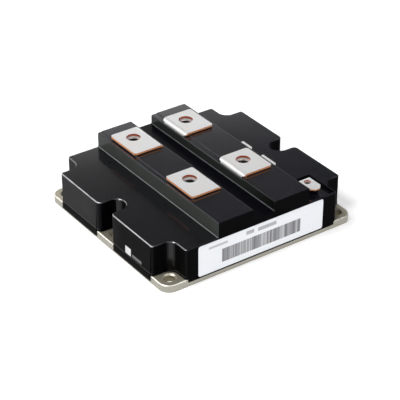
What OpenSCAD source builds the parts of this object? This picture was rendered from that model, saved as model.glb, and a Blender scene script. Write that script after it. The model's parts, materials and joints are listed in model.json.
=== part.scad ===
/* [Base plate] */
// Length of the base plate, across the two terminal ridges
plate_x = 140; // [134:1:170]
// Width of the base plate, along the terminal ridges
plate_y = 130; // [124:1:160]
// Thickness of the base plate
plate_t = 5; // [4:0.5:8]
// Corner radius of the base plate
plate_r = 7; // [3:0.5:10]
// Diameter of the six mounting holes
mount_d = 7; // [5:0.1:8]
// Hole centre to the nearest plate edge
mount_edge = 8; // [7:0.5:10]
// Width of the countersink at the top of each mounting hole
mount_chamfer = 1; // [0.2:0.1:1.5]

/* [Housing] */
// Height of the flat wings above the underside of the plate
wing_z = 25.8; // [24:0.2:32]
// Rise of the two terminal ridges above the wings
ridge_rise = 10.3; // [9:0.1:14]
// Rise of the valley floor above the wings
valley_rise = 3.7; // [2:0.1:6]
// Width of the valley between the ridges
valley_w = 15.6; // [13:0.2:20]
// Width of the collector ridge
collector_ridge_w = 25.2; // [24:0.2:30]
// Width of the emitter ridge
emitter_ridge_w = 26.2; // [24:0.2:30]
// Thickness of the roof over the inner space
roof_t = 3; // [2:0.5:4]
// Chamfer along the moulded top edges
edge_c = 0.5; // [0.3:0.1:1]
// Distance that each long side wall leans in from bottom to top
draft = 0.4; // [0:0.1:1]
// Radius of the screw head clearance round the corner holes
corner_cut_r = 6.1; // [6:0.1:7]
// Radius of the screw head clearance round the middle holes
notch_r = 6.5; // [6:0.1:7.5]
// Rounding where a corner cut-out meets an outer wall
mouth_r = 1.8; // [1:0.1:2.2]
// Rounding where a middle notch meets the outer wall
notch_mouth_r = 3.2; // [1:0.1:3.6]

/* [Main terminals] */
// Gap between a ridge and the terminal faces above it
terminal_gap = 0.6; // [0.2:0.1:1.5]
// Thickness of the terminal strip
terminal_t = 1.3; // [1:0.1:2]
// Length of a terminal face, out from its bend
terminal_len = 21.9; // [20:0.1:24]
// Distance between the front and rear terminal holes
terminal_pitch = 61.5; // [60:0.5:66]
// Hole centre to the rear edge of its terminal face
terminal_rear = 10.4; // [9:0.2:12]
// Hole centre to the front edge of a collector face
collector_front = 18.2; // [15:0.2:20]
// Hole centre to the front edge of an emitter face
emitter_front = 15.4; // [15:0.2:20]
// Diameter of the clearance hole in a main terminal
terminal_hole = 9.2; // [8.6:0.1:10]
// Width across the flats of a main nut
nut_af = 13; // [12:0.5:15]
// Height of a main nut
nut_h = 6.5; // [5:0.5:8]

/* [Auxiliary terminals] */
// Rise of the auxiliary terminal faces above the wings
aux_rise = 2.2; // [1.8:0.1:5]
// Width of an auxiliary terminal
aux_w = 9; // [8:0.5:10]
// Thickness of an auxiliary terminal
aux_t = 0.8; // [0.6:0.1:1]
// Diameter of the hole in an auxiliary terminal
aux_hole = 4.6; // [4.2:0.1:5]

/* [Power circuit] */
// Edge length of one semiconductor chip
chip = 12; // [9:0.5:12.5]
// Thickness of the two bus plates
bus_t = 1.5; // [1:0.1:2]
// Height of the emitter bus above the base plate
bus_rise = 8; // [7:0.2:9]

/* [Hidden] */
$fn = 48;
eps = 0.01;

// Colours
black = [0.10, 0.10, 0.11];
nickel = [0.83, 0.82, 0.78];
plate_grey = [0.72, 0.71, 0.66];
copper = [0.78, 0.45, 0.30];

// Mounting holes: three down each side that the ridges run along
mount_x = plate_x / 2 - mount_edge;
mount_y = plate_y / 2 - mount_edge;

// Outer faces of the housing
wall_x = plate_x / 2 + 0.2;
wall_y = plate_y / 2 + 0.4;
band_z = plate_t + 1;
band_x = 0.3;

// Lip of the housing that hangs over a rebate in the edge of the plate
lip_t = 1.8;
lip_gap = 0.2;
lip_z_side = 1.5;
lip_z_end = 3;
rebate_x = wall_x + band_x - lip_t - lip_gap;
rebate_y = wall_y - lip_t - lip_gap;

// Straight runs of wall between the cut-outs
side_run = [notch_r + notch_mouth_r, mount_y - corner_cut_r - mouth_r];
end_run = mount_x - corner_cut_r - mouth_r;

// Inner space for the power circuit, and the hollow cores in the wings
cavity_x = mount_x - max(corner_cut_r, notch_r) - 3;
cavity_y = rebate_y - 3;
cavity_z = wing_z - roof_t;
core_wall = 3;

// Seal bead under the foot of the housing
seal_w = 1.4;
seal_h = 0.9;

// Ridges, with a low band on one and a low panel on the other
ridge_z = wing_z + ridge_rise;
valley_z = wing_z + valley_rise;
ridge_in = valley_w / 2;
ridge_outs = [ridge_in + emitter_ridge_w, ridge_in + collector_ridge_w];
ridge_mid = ridge_in + 12.2;
step_drop = 0.5;
band_w = 3.9;
panel_w = 2.8;
root_r = 0.9;

// Main terminals: holes behind and in front of the middle
terminal_z = ridge_z + terminal_gap + terminal_t;
hole_rear = 44;
terminal_ys = [hole_rear, hole_rear - terminal_pitch];
bend_r = 3.2;
face_corner = 2;
leg_x = ridge_in + 1;
leg_w = 22;
collector_mid_y = (terminal_rear - collector_front) / 2;
emitter_mid_y = (terminal_rear - emitter_front) / 2;
fit = 0.2;
nut_bore = 6.8;
screw_room = 9;
screw_depth = 17;
well_wall = 1.5;
bus_clear = 1;

// Auxiliary terminals: place of each hole, and its reach to the front edge
aux_z = wing_z + aux_rise;
sense_x = ridge_outs[0] + 5.6;
gate_x = ridge_outs[0] + 12;
gate_y = -48.6;
aux_sites = [[sense_x, 10.65], [sense_x, -10.35], [gate_x, gate_y]];
aux_reaches = [8.4, 12, 10];
aux_bend_r = 1.2;
aux_nut_af = 7;
aux_nut_h = 3.2;
aux_nut_bore = 3.3;
aux_hole_rear = aux_t + fit + aux_nut_af / 2;
aux_corner = 2.9;
aux_leg_w = 5;
aux_gap = 0.2;
aux_screw_room = 4.4;
aux_screw_floor = aux_z - 10;
aux_well_r = aux_screw_room / 2 + 1;
aux_boss = [aux_nut_af + 1.6, aux_nut_af + 3];

// Recess round the gate terminal in the front of the wing
recess_z = wing_z - 2;
recess_rear = gate_y + 9.3;
recess_rim = 1.2;
recess_x = mount_x - corner_cut_r - recess_rim;

// Layers of the power circuit, from the plate up
foil = 0.3;
ceramic_t = 1;
chip_t = 0.4;
pad_z = plate_t + foil + ceramic_t;
pad_top = pad_z + foil;
chip_top = pad_top + chip_t;
column_pitch = chip + 1.5;
row_pitch = chip + 5;
sub_gap = 4;
pad_edge = 1;
pad_split = 1;
emitter_pad_x = 11;
gate_pad_x = 4;
collector_pad_x = column_pitch + chip + 1.5;
sub_x = collector_pad_x + emitter_pad_x + gate_pad_x + 2 * pad_edge + 2 * pad_split;
sub_y = 2 * row_pitch + chip + 8;
sub_cy = sub_gap / 2 + sub_y / 2;
pad_y = sub_y - 2 * pad_edge;
emitter_in = sub_gap / 2 + pad_edge;
collector_in = emitter_in + emitter_pad_x + pad_split;
gate_in = collector_in + collector_pad_x + pad_split;
collector_mid = collector_in + collector_pad_x / 2;
wire_r = 0.25;
wire_steps = [-3, 0, 3];

// Bus plates over the substrates
emitter_bus_z = plate_t + bus_rise;
insulator_t = 2.5;
collector_bus_z = emitter_bus_z + bus_t + insulator_t;
screw_floor = max(terminal_z - screw_depth,
                  collector_bus_z + bus_t + bus_clear + well_wall);
spine_x = 14;
spine_y = sub_cy + 19;
foot_w = 4;
board_t = 1.5;
board_z = cavity_z - 1.8 - board_t;
board_cross = 5;
board_x = cavity_x - 0.6;
board_y = cavity_y - 0.6;
board_in = sense_x - aux_well_r - fit - 1.6;
post_y = gate_y + 11.5;
gate_pin_d = 1;

// Label on the front face
label_size = [92.4, wing_z - 5];
label_mid = [-1.1, wing_z / 2 + 1.5];
label_t = 0.2;
label_r = 1.5;
label_fit = 0.2;

// A shape at each of the four corners, mirrored from the first
module quarters() {
    for (sx = [1, -1], sy = [1, -1])
        scale_sign(sx, sy) children();
}

module scale_sign(sx, sy) {
    mirror([sx < 0 ? 1 : 0, 0, 0]) mirror([0, sy < 0 ? 1 : 0, 0]) children();
}

// Signs of a quadrant: 1 right rear, 2 left rear, 3 left front, 4 right front
module quadrant(n) {
    scale_sign(n == 1 || n == 4 ? 1 : -1, n < 3 ? 1 : -1) children();
}

// A profile in X and Z, run along Y about the middle
module along_y(length) {
    translate([0, length / 2, 0]) rotate([90, 0, 0]) linear_extrude(length) children();
}

// A profile in Y and Z, run along X about the middle
module along_x(length) {
    translate([-length / 2, 0, 0]) rotate([90, 0, 90]) linear_extrude(length) children();
}

module block(x0, x1, y0, y1, z0, z1) {
    translate([x0, y0, z0]) cube([x1 - x0, y1 - y0, z1 - z0]);
}

// Section of a slab whose two top edges are chamfered
module chamfered_section(half, z0, z1, c, lean = 0) {
    polygon([
        [-half, z0], [half, z0], [half - lean, z1 - c], [half - lean - c, z1],
        [-half + lean + c, z1], [-half + lean, z1 - c]
    ]);
}

// ---------------------------------------------------------------- base plate

module mount_places() {
    for (sx = [-1, 1], sy = [-1, 0, 1])
        translate([sx * mount_x, sy * mount_y, 0]) children();
}

module plate_blank() {
    c = 0.5;
    along_y(plate_y - 2 * plate_r) chamfered_section(plate_x / 2, 0, plate_t, c);
    along_x(plate_x - 2 * plate_r) chamfered_section(plate_y / 2, 0, plate_t, c);
    quarters() translate([plate_x / 2 - plate_r, plate_y / 2 - plate_r, 0]) {
        cylinder(r = plate_r, h = plate_t - c);
        translate([0, 0, plate_t - c]) cylinder(r1 = plate_r, r2 = plate_r - c, h = c);
    }
}

module edge_rebates() {
    top = plate_t + 1;
    quarters() {
        block(rebate_x, plate_x, side_run[0] - lip_gap, side_run[1] + lip_gap,
              lip_z_side - lip_gap, top);
        block(-eps, end_run + lip_gap, rebate_y, plate_y, lip_z_end - lip_gap, top);
    }
}

module baseplate() {
    color(plate_grey) difference() {
        plate_blank();
        edge_rebates();
        mount_places() {
            translate([0, 0, -1]) cylinder(d = mount_d, h = plate_t + 2);
            translate([0, 0, plate_t - mount_chamfer])
                cylinder(r1 = mount_d / 2, r2 = mount_d / 2 + mount_chamfer, h = mount_chamfer);
        }
    }
}

// ------------------------------------------------------------------- housing

// Wings: a slab with leaning sides and chamfered top edges
module wing_slab() {
    intersection() {
        along_y(2 * wall_y) chamfered_section(wall_x, plate_t, wing_z, edge_c, draft);
        along_x(2 * wall_x) chamfered_section(wall_y, plate_t, wing_z, edge_c);
    }
}

// Low band round the foot of each side wall
module foot_band() {
    quarters() block(wall_x - 4, wall_x + band_x, side_run[0], side_run[1], plate_t, band_z);
}

module lips() {
    quarters() {
        block(rebate_x + lip_gap, wall_x + band_x, side_run[0], side_run[1],
              lip_z_side, plate_t + eps);
        block(-eps, end_run, rebate_y + lip_gap, wall_y, lip_z_end, plate_t + eps);
    }
}

// A bore whose mouth at the wing top is flared by the edge chamfer
module flared_bore(r) {
    translate([0, 0, lip_z_side]) cylinder(r = r, h = wing_z);
    translate([0, 0, wing_z - edge_c]) cylinder(r1 = r, r2 = r + edge_c, h = edge_c);
}

module flared_section(half, top) {
    polygon([
        [-half, lip_z_side], [half, lip_z_side], [half, top - edge_c],
        [half + edge_c, top], [half + edge_c, top + 1],
        [-half - edge_c, top + 1], [-half - edge_c, top], [-half, top - edge_c]
    ]);
}

// Rounding of a wall's upright edge, with the top chamfer carried round it
module mouth_rounding(r) {
    difference() {
        block(-r, 1, -r, 1, lip_z_side - 1, wing_z + 1);
        translate([-r, -r, 0]) {
            cylinder(r = r, h = wing_z - edge_c);
            translate([0, 0, wing_z - edge_c])
                cylinder(r1 = r, r2 = r - edge_c, h = edge_c);
        }
        block(-r - 1, -r, -r - 1, 2, 0, wing_z + 2);
        block(-r - 1, 2, -r - 1, -r, 0, wing_z + 2);
    }
}

// Screw head clearance at one corner: an S-shaped step round the hole
module corner_cut() {
    reach = mount_edge + 3;
    translate([mount_x, mount_y, 0]) {
        flared_bore(corner_cut_r);
        intersection() {
            translate([reach, 0, 0]) along_y(2 * reach) flared_section(reach + corner_cut_r, wing_z);
            block(-corner_cut_r - 1, reach, 0, reach, 0, wing_z + 1);
        }
        intersection() {
            translate([0, reach, 0]) along_x(2 * reach) flared_section(reach + corner_cut_r, wing_z);
            block(0, reach, -corner_cut_r - 1, reach, 0, wing_z + 1);
        }
    }
    translate([mount_x - corner_cut_r, wall_y, 0]) mouth_rounding(mouth_r);
    translate([wall_x - draft, mount_y - corner_cut_r, 0]) mouth_rounding(mouth_r);
}

// U-shaped notch round the middle hole of a side
module side_notch() {
    reach = mount_edge + 3;
    translate([mount_x, 0, 0]) {
        flared_bore(notch_r);
        translate([reach / 2, 0, 0]) along_x(reach) flared_section(notch_r, wing_z);
    }
    for (side = [1, -1])
        translate([wall_x - draft, side * notch_r, 0])
            mirror([0, side > 0 ? 1 : 0, 0]) mouth_rounding(notch_mouth_r);
}

// One ridge: a rounded section run from end face to end face
module ridge(out) {
    r = 0.6;
    intersection() {
        translate([ridge_mid, 0, 0]) along_y(2 * wall_y) ridge_section(r, out);
        along_x(2 * wall_x) chamfered_section(wall_y, plate_t, ridge_z, r / 2);
    }
}

module ridge_section(r, out) {
    x0 = ridge_in - ridge_mid;
    x1 = out - ridge_mid;
    translate([x0, cavity_z]) square([x1 - x0, ridge_z - r - cavity_z]);
    translate([x0 + r, cavity_z]) square([x1 - x0 - 2 * r, ridge_z - cavity_z]);
    for (x = [x0 + r, x1 - r]) translate([x, ridge_z - r]) circle(r);
    // fillet at the root, on the wing side
    translate([x1 - eps, wing_z - eps]) difference() {
        square(root_r);
        translate([root_r, root_r]) circle(root_r);
    }
}

// A lowered strip of a ridge top, from its sloped flank to the side of the ridge
module top_step(x_edge, x_side, y0, y1) {
    way = x_side > x_edge ? 1 : -1;
    floor_z = ridge_z - step_drop;
    rise = step_drop + 1;
    translate([0, (y0 + y1) / 2, 0]) along_y(y1 - y0) polygon([
        [x_edge, floor_z], [x_side - way * edge_c, floor_z],
        [x_side + way, floor_z - edge_c - 1], [x_side + way, floor_z + rise],
        [x_edge - way * rise, floor_z + rise]
    ]);
}

// Hex pocket for a main nut, with a blind well below it for the screw's end
module nut_pocket() {
    translate([0, 0, ridge_z - nut_h])
        cylinder(d = (nut_af + fit) / cos(30), h = nut_h + 1, $fn = 6);
    translate([0, 0, screw_floor]) cylinder(d = screw_room, h = ridge_z - screw_floor);
}

// Closed sleeves that hang from the roof round the blind wells
module well_sleeves() {
    for (sx = [-1, 1], y = terminal_ys)
        translate([sx * ridge_mid, y, screw_floor - well_wall])
            cylinder(d = screw_room + 2 * well_wall, h = cavity_z - screw_floor + well_wall + 1);
    for (site = aux_sites)
        translate([site[0], site[1], aux_screw_floor - 1])
            cylinder(r = aux_well_r, h = cavity_z - aux_screw_floor + 2);
}

// Slot that a terminal's leg comes up through, wider where the leg bends over
module leg_slot() {
    y = leg_w / 2 + fit;
    block(leg_x - fit, leg_x + terminal_t + fit, -y, y, cavity_z - 1, ridge_z + 1);
    block(leg_x - fit, leg_x + bend_r, -y, y, terminal_z - bend_r - fit, ridge_z + 1);
}

// Hollow of a ridge between the two nut towers
module ridge_hollow(out, y0, y1) {
    block(ridge_in + core_wall, out - core_wall, y0, y1, cavity_z - 1, ridge_z - core_wall);
}

module aux_seat(recessed) {
    z0 = recessed ? recess_z : wing_z;
    translate([-aux_boss[0] / 2, -aux_boss[1] / 2, z0 - 1])
        cube([aux_boss[0], aux_boss[1], aux_z - aux_t - aux_gap - z0 + 1]);
}

module aux_cuts() {
    top = aux_z - aux_t - aux_gap;
    translate([0, 0, top - aux_nut_h])
        cylinder(d = (aux_nut_af + fit) / cos(30), h = aux_nut_h + 1, $fn = 6);
    translate([0, 0, aux_screw_floor]) cylinder(d = aux_screw_room, h = top - aux_screw_floor);
    translate([-aux_leg_w / 2 - fit, aux_hole_rear - aux_t - fit, cavity_z - 1])
        cube([aux_leg_w + 2 * fit, aux_t + 2 * fit, aux_z]);
}

module housing_shell() {
    difference() {
        union() {
            wing_slab();
            foot_band();
            lips();
            for (side = [0, 1]) mirror([side, 0, 0]) ridge(ridge_outs[side]);
            along_y(2 * wall_y) valley_section();
        }
        quarters() corner_cut();
        for (side = [0, 1]) mirror([side, 0, 0]) side_notch();
        block(-cavity_x, cavity_x, -cavity_y, cavity_y, plate_t - 1, cavity_z);
        quarters()
            block(cavity_x + core_wall, wall_x - core_wall, side_run[0] + 1.6,
                  side_run[1] - 1.6, plate_t - 1, cavity_z);
    }
}

module valley_section() {
    translate([-ridge_in - 1, cavity_z]) square([2 * ridge_in + 2, valley_z - cavity_z]);
    for (side = [1, -1]) translate([side * ridge_in, valley_z]) mirror([side > 0 ? 1 : 0, 0])
        translate([-eps, -eps]) difference() {
            square(root_r);
            translate([root_r, root_r]) circle(root_r);
        }
}

module housing() {
    rear = terminal_ys[0];
    front = terminal_ys[1];
    half = nut_af / 2 + 4;
    color(black) difference() {
        union() {
            difference() {
                housing_shell();
                block(ridge_outs[0], recess_x, -wall_y + recess_rim, recess_rear,
                      recess_z, wing_z + 1);
            }
            for (i = [0:2]) translate(concat(aux_sites[i], 0)) aux_seat(i == 2);
            board_posts();
            well_sleeves();
        }
        label_recess();
        top_step(ridge_in + band_w, ridge_in, front - emitter_front, wall_y + 1);
        mirror([1, 0, 0]) top_step(ridge_outs[1] - panel_w, ridge_outs[1],
                                   front - collector_front, wall_y + 1);
        for (side = [0, 1]) mirror([side, 0, 0]) {
            ridge_hollow(ridge_outs[side], front + half, rear - half);
            ridge_hollow(ridge_outs[side], -cavity_y, front - half);
            for (y = terminal_ys) {
                translate([ridge_mid, y, 0]) nut_pocket();
                translate([0, y + [emitter_mid_y, collector_mid_y][side], 0]) leg_slot();
            }
        }
        for (i = [0:2]) translate(concat(aux_sites[i], 0)) aux_cuts();
        seal_ring(seal_w + fit, seal_h + 0.1, plate_t - eps);
        gate_marks();
    }
}

// Small round marks on the left wing where the mould was fed
module gate_marks() {
    for (y = terminal_ys)
        translate([-ridge_outs[1] - 4.9, y, wing_z - 0.3]) cylinder(d = 1.4, h = 1);
}

// Posts under the roof that hold the gate board down
module board_posts() {
    for (sx = [-1, 1], y = [post_y, 0, -post_y])
        translate([sx * (board_x - 3), y, board_z + board_t])
            cylinder(d = 4, h = cavity_z - board_z - board_t + 1);
}

// ---------------------------------------------------------------------- seal

module seal_ring(w, h, z) {
    x = cavity_x + 1.5;
    y = cavity_y + 1.5;
    difference() {
        block(-x - w / 2, x + w / 2, -y - w / 2, y + w / 2, z, z + h);
        block(-x + w / 2, x - w / 2, -y + w / 2, y - w / 2, z - 1, z + h + 1);
    }
}

module housing_seal() {
    color([0.75, 0.75, 0.72]) seal_ring(seal_w, seal_h, plate_t);
}

// A plate with rounded corners, standing in the front face of the housing
module label_plate(grow, depth) {
    x = label_size[0] / 2 - label_r;
    z = label_size[1] / 2 - label_r;
    translate([label_mid[0], -wall_y + label_t, label_mid[1]]) rotate([90, 0, 0])
        linear_extrude(depth) {
            square([2 * x, 2 * z + 2 * (label_r + grow)], center = true);
            square([2 * x + 2 * (label_r + grow), 2 * z], center = true);
            for (sx = [-1, 1], sz = [-1, 1])
                translate([sx * x, sz * z]) circle(label_r + grow);
        }
}

module label_recess() {
    label_plate(label_fit, label_t + 1);
}

module side_label() {
    color("white") label_plate(0, label_t);
}

// ------------------------------------------------------------ main terminals

// Section of the bent strip: leg, bend and face, with the leg's outside at x = 0
module strip_section(t, r, length, top, bottom) {
    translate([0, bottom]) square([t, top - r - bottom]);
    translate([r, top - t]) square([length - r, t]);
    translate([r, top - r]) intersection() {
        difference() {
            circle(r);
            circle(r - t);
        }
        translate([-r, 0]) square(r);
    }
}

// A main terminal on the right-hand ridge, about its hole in Y
module main_terminal(front, mid, bottom) {
    width = terminal_rear + front;
    x_end = leg_x + terminal_len;
    color(nickel) difference() {
        translate([leg_x, mid, 0]) along_y(width)
            strip_section(terminal_t, bend_r, terminal_len, terminal_z, bottom);
        translate([0, mid, 0]) for (side = [0, 1]) mirror([0, side, 0]) {
            block(leg_x - 1, leg_x + bend_r + 1, leg_w / 2, width,
                  bottom - 1, ridge_z + 0.5 * terminal_gap);
            translate([x_end, width / 2, 0]) face_rounding();
            translate([leg_x, width / 2, 0]) mirror([1, 0, 0]) face_rounding();
        }
        translate([ridge_mid, 0, terminal_z - 4]) cylinder(d = terminal_hole, h = 6);
    }
}

// Rounding of a corner of a terminal face
module face_rounding() {
    r = face_corner;
    difference() {
        block(-r, 1, -r, 1, ridge_z, terminal_z + 1);
        translate([-r, -r, ridge_z - 1]) cylinder(r = r, h = terminal_z - ridge_z + 3);
        block(-r - 1, -r, -r - 1, 2, ridge_z - 1, terminal_z + 2);
        block(-r - 1, 2, -r - 1, -r, ridge_z - 1, terminal_z + 2);
    }
}

module collector_terminal(y) {
    translate([0, y, 0]) mirror([1, 0, 0])
        main_terminal(collector_front, collector_mid_y, collector_bus_z + bus_t);
}

module emitter_terminal(y) {
    translate([0, y, 0]) main_terminal(emitter_front, emitter_mid_y, emitter_bus_z + bus_t);
}

module hex_nut(af, h, bore) {
    difference() {
        cylinder(d = af / cos(30), h = h, $fn = 6);
        translate([0, 0, -1]) cylinder(d = bore, h = h + 2);
    }
}

module terminal_nuts() {
    color(nickel) for (sx = [-1, 1], y = terminal_ys)
        translate([sx * ridge_mid, y, ridge_z - nut_h]) hex_nut(nut_af, nut_h, nut_bore);
}

// ------------------------------------------------------- auxiliary terminals

// An auxiliary terminal, about its hole, with its leg behind and its tip in front
module aux_tab(n) {
    c = aux_corner;
    reach = aux_reaches[n];
    color(nickel) translate(concat(aux_sites[n], 0)) difference() {
        translate([0, aux_hole_rear, 0]) rotate([0, 0, -90]) along_y(aux_w)
            strip_section(aux_t, aux_bend_r, reach + aux_hole_rear, aux_z, board_z + board_t);
        for (side = [0, 1]) mirror([side, 0, 0]) {
            translate([aux_w / 2, -reach, aux_z - 2]) rotate([0, 0, 45])
                translate([-c / sqrt(2), -c / sqrt(2), 0]) cube([c * sqrt(2), c * sqrt(2), 4]);
            block(aux_leg_w / 2, aux_w, aux_hole_rear - aux_bend_r - 1, aux_hole_rear + 1,
                  board_z, aux_z - aux_t - aux_gap);
        }
        translate([0, 0, aux_z - 3]) cylinder(d = aux_hole, h = 5);
    }
}

module aux_nuts() {
    color(nickel) for (site = aux_sites)
        translate([site[0], site[1], aux_z - aux_t - aux_gap - aux_nut_h])
            hex_nut(aux_nut_af, aux_nut_h, aux_nut_bore);
}

// -------------------------------------------------------------- bus and gate

// Slots that let the emitter legs through the upper layers
module emitter_leg_slots() {
    for (y = terminal_ys)
        translate([0, y + emitter_mid_y, 0])
            block(leg_x - 1, leg_x + terminal_t + 1, -leg_w / 2 - 1, leg_w / 2 + 1,
                  emitter_bus_z, terminal_z);
}

module collector_bus() {
    z0 = collector_bus_z;
    color(copper) {
        difference() {
            block(-spine_x, spine_x, -spine_y, spine_y, z0, z0 + bus_t);
            emitter_leg_slots();
        }
        quarters() {
            block(spine_x - 1, collector_mid + foot_w / 2, sub_cy + row_pitch / 2 - foot_w / 2,
                  sub_cy + row_pitch / 2 + foot_w / 2, z0, z0 + bus_t);
            block(collector_mid + foot_w / 2 - bus_t, collector_mid + foot_w / 2,
                  sub_cy + row_pitch / 2 - foot_w / 2, sub_cy + row_pitch / 2 + foot_w / 2,
                  pad_top, z0 + eps);
        }
    }
}

module emitter_bus() {
    z0 = emitter_bus_z;
    foot_x = emitter_in + 2;
    color(copper) {
        block(-spine_x, spine_x, -spine_y, spine_y, z0, z0 + bus_t);
        quarters() block(foot_x, foot_x + bus_t, sub_cy - row_pitch / 2 - foot_w / 2,
                         sub_cy - row_pitch / 2 + foot_w / 2, pad_top, z0 + eps);
    }
}

module bus_insulator() {
    color([0.85, 0.78, 0.55]) difference() {
        block(-spine_x - 2, spine_x + 2, -spine_y - 1, spine_y + 1,
              emitter_bus_z + bus_t, collector_bus_z);
        emitter_leg_slots();
    }
}

module gate_board() {
    color([0.10, 0.35, 0.18]) difference() {
        block(-board_x, board_x, -board_y, board_y, board_z, board_z + board_t);
        block(-board_in, board_in, -board_y + board_cross, board_y - board_cross,
              board_z - 1, board_z + board_t + 1);
        for (site = aux_sites)
            translate([site[0], site[1], board_z - 1])
                cylinder(r = aux_well_r + fit, h = board_t + 2);
    }
}

module gate_pins() {
    x = gate_in + gate_pad_x / 2;
    color(nickel) quarters() translate([x, sub_cy, pad_top])
        cylinder(d = gate_pin_d, h = board_z - pad_top);
}

// ---------------------------------------------------------------- substrates

module pad(x0, width) {
    block(x0, x0 + width, sub_cy - pad_y / 2, sub_cy + pad_y / 2, pad_z, pad_top);
}

module base_copper(n) {
    color(copper) quadrant(n)
        block(sub_gap / 2 + pad_edge, sub_gap / 2 + sub_x - pad_edge,
              sub_cy - pad_y / 2, sub_cy + pad_y / 2, plate_t, plate_t + foil);
}

module ceramic(n) {
    color([0.92, 0.91, 0.87]) quadrant(n)
        block(sub_gap / 2, sub_gap / 2 + sub_x, sub_gap / 2, sub_gap / 2 + sub_y,
              plate_t + foil, pad_z);
}

module collector_pad(n) {
    color(copper) quadrant(n) pad(collector_in, collector_pad_x);
}

module emitter_pad(n) {
    color(copper) quadrant(n) pad(emitter_in, emitter_pad_x);
}

module gate_pad(n) {
    color(copper) quadrant(n) pad(gate_in, gate_pad_x);
}

// Chips stand in two columns; the middle row holds the diodes
module chip_places(rows) {
    for (column = [-0.5, 0.5], row = rows)
        translate([collector_mid + column * column_pitch, sub_cy + row * row_pitch, pad_top])
            children();
}

module igbt_chips(n) {
    color([0.45, 0.46, 0.50]) quadrant(n) chip_places([-1, 1])
        translate([-chip / 2, -chip / 2, 0]) cube([chip, chip, chip_t]);
}

module diode_chips(n) {
    color([0.55, 0.55, 0.52]) quadrant(n) chip_places([0])
        translate([-chip / 2, -chip / 2, 0]) cube([chip, chip, chip_t]);
}

// A bonding wire: a half ring that stands on a chip, with one foot on a pad
module bond_wire(x_chip, x_foot, y, foot_z) {
    r = abs(x_chip - x_foot) / 2;
    translate([(x_chip + x_foot) / 2, y, chip_top])
        rotate([90, 0, 0]) rotate_extrude(angle = 180) translate([r, 0]) circle(wire_r, $fn = 16);
    translate([x_foot, y, foot_z]) cylinder(r = wire_r, h = chip_top - foot_z + eps, $fn = 16);
}

module bond_wires(n) {
    inner = collector_mid - column_pitch / 2;
    outer = collector_mid + column_pitch / 2;
    pad_foot = collector_in - pad_split - 2;
    color([0.86, 0.86, 0.88]) quadrant(n)
        for (row = [-1:1], step = wire_steps) {
            y = sub_cy + row * row_pitch + step;
            bond_wire(inner - 2.5, pad_foot, y, pad_top);
            bond_wire(outer - 3.5, inner + 3, y, chip_top);
        }
}

baseplate();
housing();
housing_seal();
side_label();
collector_terminal(terminal_ys[0]);  // collector_terminal_rear
collector_terminal(terminal_ys[1]);  // collector_terminal_front
emitter_terminal(terminal_ys[0]);  // emitter_terminal_rear
emitter_terminal(terminal_ys[1]);  // emitter_terminal_front
terminal_nuts();
aux_tab(0);  // collector_sense_tab
aux_tab(1);  // emitter_sense_tab
aux_tab(2);  // gate_tab
aux_nuts();
collector_bus();
emitter_bus();
bus_insulator();
gate_board();
gate_pins();
for (n = [1:4]) {
    base_copper(n);
    ceramic(n);
    collector_pad(n);
    emitter_pad(n);
    gate_pad(n);
    igbt_chips(n);
    diode_chips(n);
    bond_wires(n);
}
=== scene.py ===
"""Looks of the power module: finishes for the CAD pieces, printed marks, light and camera."""

import json
import math

import bmesh
import bpy
from mathutils import Matrix, Vector


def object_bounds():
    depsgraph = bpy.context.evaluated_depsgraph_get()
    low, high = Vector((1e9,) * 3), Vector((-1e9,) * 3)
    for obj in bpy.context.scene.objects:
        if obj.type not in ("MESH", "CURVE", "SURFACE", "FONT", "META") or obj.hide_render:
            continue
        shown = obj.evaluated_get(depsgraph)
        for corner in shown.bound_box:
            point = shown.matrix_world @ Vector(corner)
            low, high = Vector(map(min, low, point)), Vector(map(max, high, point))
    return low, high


MM = 0.001

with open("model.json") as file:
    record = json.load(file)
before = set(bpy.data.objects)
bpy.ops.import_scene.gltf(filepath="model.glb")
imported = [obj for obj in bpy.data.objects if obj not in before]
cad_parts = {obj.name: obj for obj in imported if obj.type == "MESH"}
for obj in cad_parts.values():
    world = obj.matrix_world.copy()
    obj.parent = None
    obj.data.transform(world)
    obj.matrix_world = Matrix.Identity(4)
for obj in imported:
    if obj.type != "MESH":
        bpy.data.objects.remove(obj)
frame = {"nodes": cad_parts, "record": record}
cad_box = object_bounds()
nodes = frame["nodes"]


def bolt_axes(name):
    """Middles of the holes of one of the record's mounts."""
    for mount in frame["record"]["mounts"]:
        if mount["name"] == name:
            x, y, z = mount["pos_m"]
            dx = mount["dims"].get("spacing_x_mm", 0.0) * MM / 2
            dy = mount["dims"].get("spacing_y_mm", 0.0) * MM / 2
            return sorted({(x + sx * dx, y + sy * dy) for sx in (-1, 1) for sy in (-1, 1)})


TERMINAL_HOLES = bolt_axes("power_terminal_threads")
TAB_HOLES = bolt_axes("sense_terminal_threads") + bolt_axes("gate_terminal_hole")
BASE_HOLES = bolt_axes("base_corner_holes") + bolt_axes("base_middle_holes")

# Radii that take in the wall of a hole, its bevel, or the housing's round wall over a base hole.
TERMINAL_HOLE_REACH = 4.9 * MM
TAB_HOLE_REACH = 2.6 * MM
BASE_HOLE_REACH = 3.7 * MM
BASE_BEVEL_REACH = 4.6 * MM
CUT_OUT_REACH = 7.5 * MM

# Where the housing's faces begin and end: distances from the middle, and heights. A pair of
# numbers is a soft step from one face to the next, or a band.
VALLEY_HALF = 7.9 * MM
VALLEY_BELOW = 30.8 * MM
LEFT_WING_START = 33.5 * MM
RIGHT_WING_START = 34.2 * MM
OUTER_WALLS = (36.0 * MM, 37.5 * MM)
OUTERMOST_EDGES = (60.0 * MM, 68.0 * MM)
RECESS_TO_WING = (24.0 * MM, 24.8 * MM)
RIDGE_EDGES_ABOVE = 34.5 * MM
FOOT_TOP = (6.1 * MM, 6.3 * MM)
# the band of a painted highlight along the lip above the foot
LIP_HIGHLIGHT = (6.3 * MM, 6.7 * MM)

# How far up a face points (the z of its direction) on the bevels along the edges.
BEVEL = (0.35, 0.93)
BEVEL_SOFT = 0.04

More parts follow.
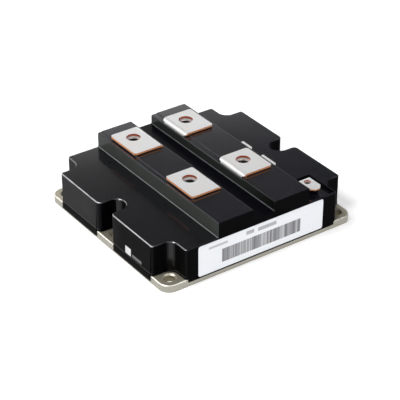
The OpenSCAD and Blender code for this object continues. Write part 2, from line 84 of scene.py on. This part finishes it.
# Print, as spans of places. The wing's side has a square and a field, along y and z.
WING_SQUARE = ((-28.6 * MM, -22.7 * MM), (7.2 * MM, 12.2 * MM))
WING_FIELD = ((-40.0 * MM, -30.0 * MM), (7.6 * MM, 9.6 * MM))
WING_FIELD_INK = 0.25
# The label has a field of bars and three grey fields, along x and z.
BAR_FIELD = ((-30.4 * MM, 27.7 * MM), (8.2 * MM, 17.4 * MM))
GREY_FIELDS = (
    ((-12.9 * MM, -7.2 * MM), (20.4 * MM, 22.9 * MM), 0.42),
    ((-4.3 * MM, 9.3 * MM), (20.0 * MM, 22.5 * MM), 0.42),
    ((-40.0 * MM, -26.4 * MM), (20.4 * MM, 21.9 * MM), 0.48),
)
THIN_BAR = 0.50 * MM
WIDE_BAR = 1.25 * MM

NUT_THREAD_PITCH = 1.25 * MM
NUT_BORE_SHADE = (35.0 * MM, 35.6 * MM)


# ---------------------------------------------------------------- node helpers

class Shader:
    """A material's node tree, with short calls for the nodes used below."""

    def __init__(self, name):
        self.material = bpy.data.materials.new(name)
        self.material.use_nodes = True
        self.tree = self.material.node_tree
        self.tree.nodes.clear()
        self.output = self.tree.nodes.new("ShaderNodeOutputMaterial")
        self.surface = self.tree.nodes.new("ShaderNodeBsdfPrincipled")
        self.link(self.surface.outputs["BSDF"], self.output.inputs["Surface"])
        self.place = self.tree.nodes.new("ShaderNodeTexCoord").outputs["Object"]

    def link(self, source, target):
        self.tree.links.new(source, target)

    def feed(self, socket, value):
        """Sets a socket to a number or colour, or links it to another node's output."""
        if isinstance(value, bpy.types.NodeSocket):
            self.link(value, socket)
        elif isinstance(value, tuple) and len(value) == 3 and len(socket.default_value) == 4:
            socket.default_value = (*value, 1.0)
        else:
            socket.default_value = value

    def set(self, **values):
        """Sets sockets of the surface shader; an underscore stands for a space."""
        for name, value in values.items():
            self.feed(self.surface.inputs[name.replace("_", " ")], value)

    def math(self, operation, *values):
        node = self.tree.nodes.new("ShaderNodeMath")
        node.operation = operation
        for socket, value in zip(node.inputs, values):
            self.feed(socket, value)
        return node.outputs[0]

    def size_of(self, value):
        return self.math("ABSOLUTE", value)

    def product(self, first, *others):
        for other in others:
            first = self.math("MULTIPLY", first, other)
        return first

    def either(self, one, other):
        return self.math("MAXIMUM", one, other)

    def mix(self, factor, low, high):
        node = self.tree.nodes.new("ShaderNodeMix")
        node.data_type = "RGBA"
        self.feed(node.inputs["Factor"], factor)
        self.feed(node.inputs["A"], low)
        self.feed(node.inputs["B"], high)
        return node.outputs["Result"]

    def ramp(self, value, low, high, start=0.0, end=1.0):
        """Maps value from low..high to start..end, held at both ends."""
        node = self.tree.nodes.new("ShaderNodeMapRange")
        for name, number in (("Value", value), ("From Min", low), ("From Max", high),
                             ("To Min", start), ("To Max", end)):
            self.feed(node.inputs[name], number)
        return node.outputs["Result"]

    def choose(self, mask, off, on):
        """The number off where the mask is 0, and on where it is 1."""
        return self.ramp(mask, 0.0, 1.0, off, on)

    def spread(self, noise, low, high):
        """Spreads the middle of a noise over low..high."""
        return self.ramp(noise, 0.3, 0.7, low, high)

    def within(self, value, span, soft):
        """1 where value lies in the span, 0 outside, with soft edges."""
        low, high = span
        rise = self.ramp(value, low - soft, low + soft)
        fall = self.ramp(value, high - soft, high + soft, 1.0, 0.0)
        return self.product(rise, fall)

    def patch(self, across, height, spans, soft):
        """1 in an upright rectangle, given by its span across and its span in height."""
        return self.product(self.within(across, spans[0], soft), self.within(height, spans[1], soft))

    def stretched(self, scale):
        node = self.tree.nodes.new("ShaderNodeMapping")
        self.link(self.place, node.inputs["Vector"])
        node.inputs["Scale"].default_value = scale
        return node.outputs["Vector"]

    def noise(self, size, detail=3.0, roughness=0.5, vector=None):
        """Noise whose features are about size metres across, or in stretched units."""
        node = self.tree.nodes.new("ShaderNodeTexNoise")
        self.link(vector or self.place, node.inputs["Vector"])
        node.inputs["Scale"].default_value = 1.0 / size
        node.inputs["Detail"].default_value = detail
        node.inputs["Roughness"].default_value = roughness
        return node.outputs["Fac"]

    def split(self, vector):
        node = self.tree.nodes.new("ShaderNodeSeparateXYZ")
        self.link(vector, node.inputs[0])
        return node.outputs

    def facing(self):
        """The face's own direction, not the smoothed one."""
        return self.split(self.tree.nodes.new("ShaderNodeNewGeometry").outputs["True Normal"])

    def near_axes(self, axes, radius):
        """1 within radius of any of these upright axes, 0 elsewhere."""
        x, y, _ = self.split(self.place)
        inside = None
        for axis_x, axis_y in axes:
            square_x = self.math("POWER", self.math("SUBTRACT", x, axis_x), 2.0)
            square_y = self.math("POWER", self.math("SUBTRACT", y, axis_y), 2.0)
            reach = self.math("SQRT", self.math("ADD", square_x, square_y))
            near = self.math("LESS_THAN", reach, radius)
            inside = near if inside is None else self.either(inside, near)
        return inside

    def bump(self, height, distance):
        node = self.tree.nodes.new("ShaderNodeBump")
        self.feed(node.inputs["Height"], height)
        node.inputs["Distance"].default_value = distance
        self.link(node.outputs["Normal"], self.surface.inputs["Normal"])


# --------------------------------------------------------------------- housing

class HousingFaces:
    """Masks, from 0 to 1, that tell the housing's faces and edges apart."""

    def __init__(self, s):
        x, y, z = s.split(s.place)
        self.to_x, to_y, self.to_z = s.facing()
        self.y, self.z = y, z
        wide = s.size_of(x)
        self.right_half = s.math("GREATER_THAN", x, 0.0)
        self.left_wing = s.math("LESS_THAN", x, -LEFT_WING_START)
        self.right_wing = s.math("GREATER_THAN", x, RIGHT_WING_START)
        self.between_ridges = s.math("LESS_THAN", wide, VALLEY_HALF)
        self.valley = s.product(self.between_ridges, s.math("LESS_THAN", z, VALLEY_BELOW))
        self.outer = s.ramp(wide, *OUTER_WALLS)
        self.outermost = s.ramp(wide, *OUTERMOST_EDGES)
        self.rear_half = s.ramp(y, -20 * MM, 20 * MM)
        self.side = s.ramp(s.size_of(self.to_x), 0.80, 0.95)
        self.end = s.ramp(s.size_of(to_y), 0.80, 0.95)
        self.left_side = s.math("LESS_THAN", self.to_x, -0.9)
        self.upward = s.ramp(self.to_z, 0.1, 0.4)
        outer_side = s.product(self.outer, self.side)
        self.foot = s.product(outer_side, s.ramp(z, *FOOT_TOP, 1.0, 0.0))
        self.lip_highlight = s.product(outer_side, s.within(z, LIP_HIGHLIGHT, 0.1 * MM))
        self.bevel = s.within(self.to_z, BEVEL, BEVEL_SOFT)
        self.ridge_edge = s.product(self.bevel, s.math("GREATER_THAN", z, RIDGE_EDGES_ABOVE))


def housing_colour(s, on, clouds):
    """Black with painted light and shade: paler ridge walls and outer-wall rears, darker ends, left
    wing, valley and right-ridge front, and a dark foot of painted shade under a thin painted
    highlight.
    """
    flow = s.noise(1.0, 3.0, 0.6, s.stretched((160.0, 25.0, 60.0)))
    top = s.mix(clouds, (0.0030, 0.0032, 0.0060), (0.0064, 0.0068, 0.0118))
    # painted shade: the tops of the left wing and between the ridges are darker
    top = s.mix(s.either(on.left_wing, on.between_ridges), top, (0.0020, 0.0021, 0.0036))
    # painted light: the ridges' long walls are paler than the tops, the left ridge more than the right
    left_ridge = s.mix(flow, (0.030, 0.035, 0.032), (0.062, 0.069, 0.062))
    right_ridge = s.mix(flow, (0.014, 0.017, 0.015), (0.034, 0.038, 0.034))
    # painted shade: the right ridge's wall darkens towards the front
    right_ridge = s.mix(s.ramp(on.y, -62 * MM, -35 * MM), (0.004, 0.005, 0.004), right_ridge)
    ridge_wall = s.mix(on.right_half, left_ridge, right_ridge)
    # painted light: the outer walls are paler towards the rear, standing in for a reflection
    outer_wall = s.mix(on.rear_half, (0.004, 0.004, 0.004), (0.014, 0.014, 0.015))
    outer_wall = s.mix(flow, (0.0015, 0.0015, 0.0015), outer_wall)
    body = s.mix(on.side, top, s.mix(on.outer, ridge_wall, outer_wall))
    # painted shade: the end faces are made darker than the rest
    body = s.mix(on.end, body, (0.0014, 0.0014, 0.0018))
    # painted shade: the foot under the lip is darker
    body = s.mix(on.foot, body, (0.0010, 0.0010, 0.0010))
    # painted highlight: a thin pale line along the lip at the top of the foot
    return s.mix(on.lip_highlight, body, (0.085, 0.085, 0.080))


def painted_edge_highlight(s, on):
    """Where the bevels get a painted highlight: most where they face left, least at the ends."""
    patchy = s.ramp(s.noise(6 * MM, 3.0), 0.3, 0.6, 0.55, 1.0)
    sideways = s.ramp(s.size_of(on.to_x), 0.15, 0.5, 0.12, 1.0)
    not_right = s.ramp(on.to_x, 0.0, 0.3, 1.0, 0.35)
    return s.product(on.bevel, patchy, sideways, not_right, s.choose(on.ridge_edge, 1.0, 0.45))


def housing_ink(s, on):
    """Print on the left side: a plain pale square and a faint short field behind it."""
    square = s.patch(on.y, on.z, WING_SQUARE, 0.1 * MM)
    field = s.patch(on.y, on.z, WING_FIELD, 0.2 * MM)
    return s.product(on.left_side, s.either(square, s.product(field, WING_FIELD_INK)))


def housing_polish(s, on, clouds):
    """The polish: full on the tops, less on long walls and the valley floor, none on the ends."""
    flat_wall = s.choose(on.outer, 0.20, s.choose(on.rear_half, 0.0, 0.15))
    curved_wall = s.choose(s.near_axes(BASE_HOLES, CUT_OUT_REACH), 0.06, 0.40)
    wall = s.choose(on.side, curved_wall, flat_wall)
    wall = s.product(wall, s.choose(on.end, 1.0, 0.0), s.choose(on.foot, 1.0, 0.0))
    polish = s.choose(on.upward, wall, s.spread(clouds, 0.85, 1.0))
    right_wing_top = s.ramp(on.z, *RECESS_TO_WING, 1.0, 0.52)
    return s.product(
        polish,
        s.choose(on.valley, 1.0, 0.15),
        s.choose(on.right_wing, 1.0, right_wing_top),
        s.ramp(on.y, -60 * MM, 60 * MM, 1.0, 0.84),
        s.ramp(on.to_x, 0.10, 0.35, 1.0, 0.0),
        s.choose(on.ridge_edge, 1.0, 0.15))


def moulded_plastic():
    """Black glass-filled moulding: polished top faces, dull ends, fine grain, painted light and shade
    on the faces, painted highlights on the edges.
    """
    s = Shader("housing_plastic")
    on = HousingFaces(s)
    clouds = s.noise(30 * MM, 4.0)
    grain = s.noise(0.5 * MM, 2.0, 0.6)
    # painted highlight colour for the bevels, brightest on the outermost edges
    edge_highlight_colour = s.mix(on.outermost, (0.095, 0.095, 0.10), (0.42, 0.42, 0.44))
    colour = s.mix(painted_edge_highlight(s, on), housing_colour(s, on, clouds), edge_highlight_colour)
    s.set(Base_Color=s.mix(housing_ink(s, on), colour, (0.70, 0.70, 0.70)),
          Roughness=s.spread(grain, 0.34, 0.46), IOR=1.07,
          Coat_Weight=housing_polish(s, on, clouds), Coat_Roughness=0.13, Coat_IOR=1.72)
    s.bump(grain, 0.03 * MM)
    return s.material


# ---------------------------------------------------------------------- metals

def base_metal():
    """Nickel-plated metal composite: warm grey, mottled, a painted highlight on the bevels, sides a
    duller cut finish darkened further as painted shade, painted shade on the hole walls.
    """
    s = Shader("base_metal")
    mottle = s.noise(12 * MM, 5.0, 0.6)
    grit = s.noise(0.6 * MM, 3.0, 0.7)
    level = s.size_of(s.facing()[2])
    upright = s.ramp(level, 0.2, 0.6, 1.0, 0.0)
    face = s.mix(mottle, (0.46, 0.42, 0.32), (0.62, 0.575, 0.465))
    # the upright sides: a duller cut finish, also painted darker as shade
    cut = s.mix(grit, (0.31, 0.295, 0.25), (0.44, 0.42, 0.365))
    # painted highlight: the plate's bevels are made bright, a little less round the holes
    bevel = s.mix(s.near_axes(BASE_HOLES, BASE_BEVEL_REACH), (0.88, 0.85, 0.77), (0.66, 0.62, 0.52))
    # painted shade: the walls of the base holes are made dark
    shaded_hole_wall = s.mix(grit, (0.10, 0.085, 0.045), (0.34, 0.30, 0.20))
    colour = s.mix(s.within(level, BEVEL, BEVEL_SOFT), s.mix(upright, face, cut), bevel)
    colour = s.mix(s.product(s.near_axes(BASE_HOLES, BASE_HOLE_REACH), upright), colour, shaded_hole_wall)
    s.set(Base_Color=colour, Metallic=0.7, Roughness=s.spread(grit, 0.36, 0.50))
    s.bump(grit, 0.04 * MM)
    return s.material


def plated_strip():
    """Nickel-plated copper strip: bright rolled faces, bare copper where it was cut."""
    s = Shader("plated_metal")
    rolled = s.noise(4 * MM, 4.0, 0.6, s.stretched((1.0, 0.08, 1.0)))
    fine = s.noise(0.8 * MM, 3.0, 0.6)
    stain = s.noise(18 * MM, 3.0)
    to_x, to_y, to_z = s.facing()
    x = s.split(s.place)[0]
    strip_end = s.product(s.ramp(s.size_of(to_x), 0.6, 0.8), s.ramp(s.size_of(x), 27 * MM, 29 * MM))
    cut = s.either(strip_end, s.ramp(s.size_of(to_y), 0.4, 0.6))
    nickel = s.mix(rolled, (0.79, 0.795, 0.80), (0.87, 0.87, 0.865))
    nickel = s.mix(s.ramp(stain, 0.45, 0.75, 0.0, 0.5), nickel, (0.85, 0.81, 0.75))
    bare = s.mix(fine, (0.80, 0.30, 0.12), (0.92, 0.44, 0.21))
    # painted shade: inside the screw holes the copper is made dark
    in_hole = s.either(s.near_axes(TERMINAL_HOLES, TERMINAL_HOLE_REACH),
                       s.near_axes(TAB_HOLES, TAB_HOLE_REACH))
    shaded_hole_wall = s.product(in_hole, s.ramp(s.size_of(to_z), 0.3, 0.6, 1.0, 0.0))
    colour = s.mix(shaded_hole_wall, s.mix(cut, nickel, bare), (0.46, 0.090, 0.035))
    s.set(Base_Color=colour, Metallic=s.choose(cut, 0.5, 0.25), Roughness=s.spread(rolled, 0.34, 0.46))
    s.bump(fine, 0.02 * MM)
    return s.material


def nut_steel():
    """Plated nut: bright faces and thread start, painted shade down the threaded bore."""
    s = Shader("nut_steel")
    z = s.split(s.place)[2]
    tone = s.noise(2 * MM, 4.0)
    upright = s.ramp(s.size_of(s.facing()[2]), 0.3, 0.6, 1.0, 0.0)
    # painted shade: the bore is dark below the thread start
    bore_shade = s.product(upright, s.ramp(z, *NUT_BORE_SHADE, 1.0, 0.0))
    face = s.mix(tone, (0.90, 0.89, 0.87), (0.96, 0.955, 0.94))
    threads = s.math("SINE", s.math("MULTIPLY", z, 2 * math.pi / NUT_THREAD_PITCH))
    # painted shade: the thread grooves are coloured as dark bands in the bore
    bore = s.mix(s.ramp(threads, -1.0, 1.0), (0.015, 0.015, 0.018), (0.09, 0.088, 0.085))
    s.set(Base_Color=s.mix(bore_shade, face, bore), Metallic=0.50, Roughness=s.spread(tone, 0.18, 0.28))
    s.bump(s.product(threads, upright), 0.10 * MM)
    return s.material


def plain_metal(name, low, high, roughness, metallic=0.9, size=3 * MM):
    """One even finish whose tone wanders between two colours."""
    s = Shader(name)
    tone = s.noise(size, 4.0)
    s.set(Base_Color=s.mix(tone, low, high), Metallic=metallic,
          Roughness=s.spread(tone, roughness - 0.06, roughness + 0.08))
    s.bump(s.noise(size * 0.2, 3.0), 0.02 * MM)
    return s.material


def plain_solid(name, low, high, roughness):
    return plain_metal(name, low, high, roughness, 0.0, 4 * MM)


# ----------------------------------------------------------------------- label

def band_chances(s, across, width, seed):
    """A random number from 0 to 1 for each upright band of this width."""
    node = s.tree.nodes.new("ShaderNodeTexWhiteNoise")
    node.noise_dimensions = "1D"
    band = s.math("FLOOR", s.math("DIVIDE", across, width))
    s.link(s.math("ADD", band, seed), node.inputs["W"])
    return node.outputs["Value"]


def label_film():
    """White film; its print is plain bars and grey fields that say nothing."""
    s = Shader("label_film")
    x, _, z = s.split(s.place)
    colour = s.mix(s.noise(20 * MM, 3.0), (0.79, 0.81, 0.845), (0.85, 0.865, 0.89))
    thin = s.ramp(band_chances(s, x, THIN_BAR, 3.5), 0.25, 0.80)
    wide = s.ramp(band_chances(s, x, WIDE_BAR, 41.5), 0.15, 0.75)
    tint = s.product(s.choose(thin, 0.45, 1.0), s.choose(wide, 0.55, 1.0))
    bars = s.mix(tint, (0.04, 0.04, 0.045), (0.50, 0.50, 0.52))
    colour = s.mix(s.patch(x, z, BAR_FIELD, 0.05 * MM), colour, bars)
    for x_span, z_span, grey in GREY_FIELDS:
        block = s.patch(x, z, (x_span, z_span), 0.2 * MM)
        colour = s.mix(block, colour, (grey, grey, grey * 1.03))
    s.set(Base_Color=colour, Roughness=0.40, IOR=1.40)
    s.bump(s.noise(1 * MM, 2.0), 0.01 * MM)
    return s.material


# -------------------------------------------------------------------- finishes

FINISHES = {
    "plate": base_metal(),
    "housing_plastic": moulded_plastic(),
    "sealant": plain_solid("sealant", (0.62, 0.62, 0.58), (0.72, 0.72, 0.68), 0.5),
    "label_film": label_film(),
    "plated_metal": plated_strip(),
    "nut_steel": nut_steel(),
    "copper": plain_metal("copper", (0.66, 0.30, 0.17), (0.76, 0.38, 0.23), 0.35),
    "insulation": plain_solid("insulation", (0.70, 0.60, 0.38), (0.78, 0.69, 0.47), 0.5),
    "board": plain_solid("board", (0.03, 0.16, 0.07), (0.05, 0.22, 0.10), 0.35),
    "pin_metal": plain_metal("pin_metal", (0.70, 0.69, 0.64), (0.80, 0.79, 0.74), 0.3),
    "substrate": plain_solid("substrate", (0.80, 0.79, 0.74), (0.88, 0.87, 0.83), 0.55),
    "silicon": plain_metal("silicon", (0.30, 0.31, 0.35), (0.40, 0.41, 0.45), 0.25, 0.6),
    "wire": plain_metal("wire", (0.78, 0.78, 0.80), (0.86, 0.86, 0.88), 0.3),
}

for part in frame["record"]["subparts"]:
    mesh = nodes[part["node"]].data
    finish = FINISHES[part["material_slot"]]
    if mesh.materials:
        for index in range(len(mesh.materials)):
            mesh.materials[index] = finish
    else:
        mesh.materials.append(finish)


# ------------------------------------------------------------- floor and light

FLOOR_HALF_SIZE = 6.0
# a hair above the underside, so the two planes don't fight in a view from below
FLOOR_LIFT = 0.02 * MM
WORLD_STRENGTH = 0.09

# name, place, aim, size and power; places and sizes in metres, power in watts
SOFT_LIGHTS = (
    ("back", (0.45, 1.43, 0.43), (0, 0, 0.43), (1.7, 0.86), 7.7),
    ("left", (-0.80, 1.05, 0.76), (0, 0, 0), (0.9, 0.7), 4.8),
    ("key", (-1.0, 0.1, 1.5), (0, 0, 0), (0.7, 0.7), 22.0),
    ("front", (0.3, -1.6, 0.9), (0, 0, 0.02), (1.2, 0.8), 15.5),
    # this one stands under the floor, so it lights nothing but the underside
    ("under", (0.5, -0.5, -1.0), (0, 0, 0), (1.2, 1.2), 22.0),
)


def floor_material():
    s = Shader("floor")
    s.set(Base_Color=(0.86, 0.86, 0.87), Roughness=0.9, IOR=1.05,
          Emission_Color=(1.0, 1.0, 1.0), Emission_Strength=0.42)
    return s.material


def add_floor(height):
    outline = bmesh.new()
    corners = [outline.verts.new((sx * FLOOR_HALF_SIZE, sy * FLOOR_HALF_SIZE, height))
               for sx, sy in ((-1, -1), (1, -1), (1, 1), (-1, 1))]
    outline.faces.new(corners)
    mesh = bpy.data.meshes.new("floor")
    outline.to_mesh(mesh)
    outline.free()
    mesh.materials.append(floor_material())
    plane = bpy.data.objects.new("floor", mesh)
    bpy.context.scene.collection.objects.link(plane)


def add_soft_light(name, place, aim, size, power):
    data = bpy.data.lights.new(name, "AREA")
    data.shape = "RECTANGLE"
    data.size, data.size_y = size
    data.energy = power
    lamp = bpy.data.objects.new(name, data)
    lamp.location = place
    away = Vector(place) - Vector(aim)
    lamp.rotation_euler = away.to_track_quat("Z", "Y").to_euler()
    bpy.context.scene.collection.objects.link(lamp)


add_floor(cad_box[0][2] + FLOOR_LIFT)
for light in SOFT_LIGHTS:
    add_soft_light(*light)

world = bpy.data.worlds.new("studio")
bpy.context.scene.world = world
world.use_nodes = True
surroundings = world.node_tree.nodes["Background"].inputs
surroundings["Color"].default_value = (1.0, 1.0, 1.0, 1.0)
surroundings["Strength"].default_value = WORLD_STRENGTH


# ---------------------------------------------------------------------- camera

AZIMUTH = math.radians(-35.36)
ELEVATION = math.radians(31.85)
ROLL = math.radians(0.10)
VIEW_ANGLE = math.radians(14.79159)
DISTANCE = 966.5 * MM
# the point looked at, right of and above the middle of the underside in the picture
AIM_RIGHT = 0.09 * MM
AIM_UP = 5.83 * MM

right = Vector((math.cos(AZIMUTH), math.sin(AZIMUTH), 0.0))
back = Vector((math.sin(AZIMUTH) * math.cos(ELEVATION),
               -math.cos(AZIMUTH) * math.cos(ELEVATION), math.sin(ELEVATION)))
up = back.cross(right)
rolled_right = math.cos(ROLL) * right + math.sin(ROLL) * up
rolled_up = math.cos(ROLL) * up - math.sin(ROLL) * right
eye = AIM_RIGHT * rolled_right + AIM_UP * rolled_up + DISTANCE * back

camera_data = bpy.data.cameras.new("camera")
camera_data.sensor_fit = "HORIZONTAL"
camera_data.angle = VIEW_ANGLE
camera_data.clip_start = 50 * MM
camera = bpy.data.objects.new("camera", camera_data)
camera.matrix_world = Matrix((
    (rolled_right.x, rolled_up.x, back.x, eye.x),
    (rolled_right.y, rolled_up.y, back.y, eye.y),
    (rolled_right.z, rolled_up.z, back.z, eye.z),
    (0, 0, 0, 1)))
bpy.context.scene.collection.objects.link(camera)
bpy.context.scene.camera = camera
bpy.context.scene.view_settings.view_transform = "Standard"
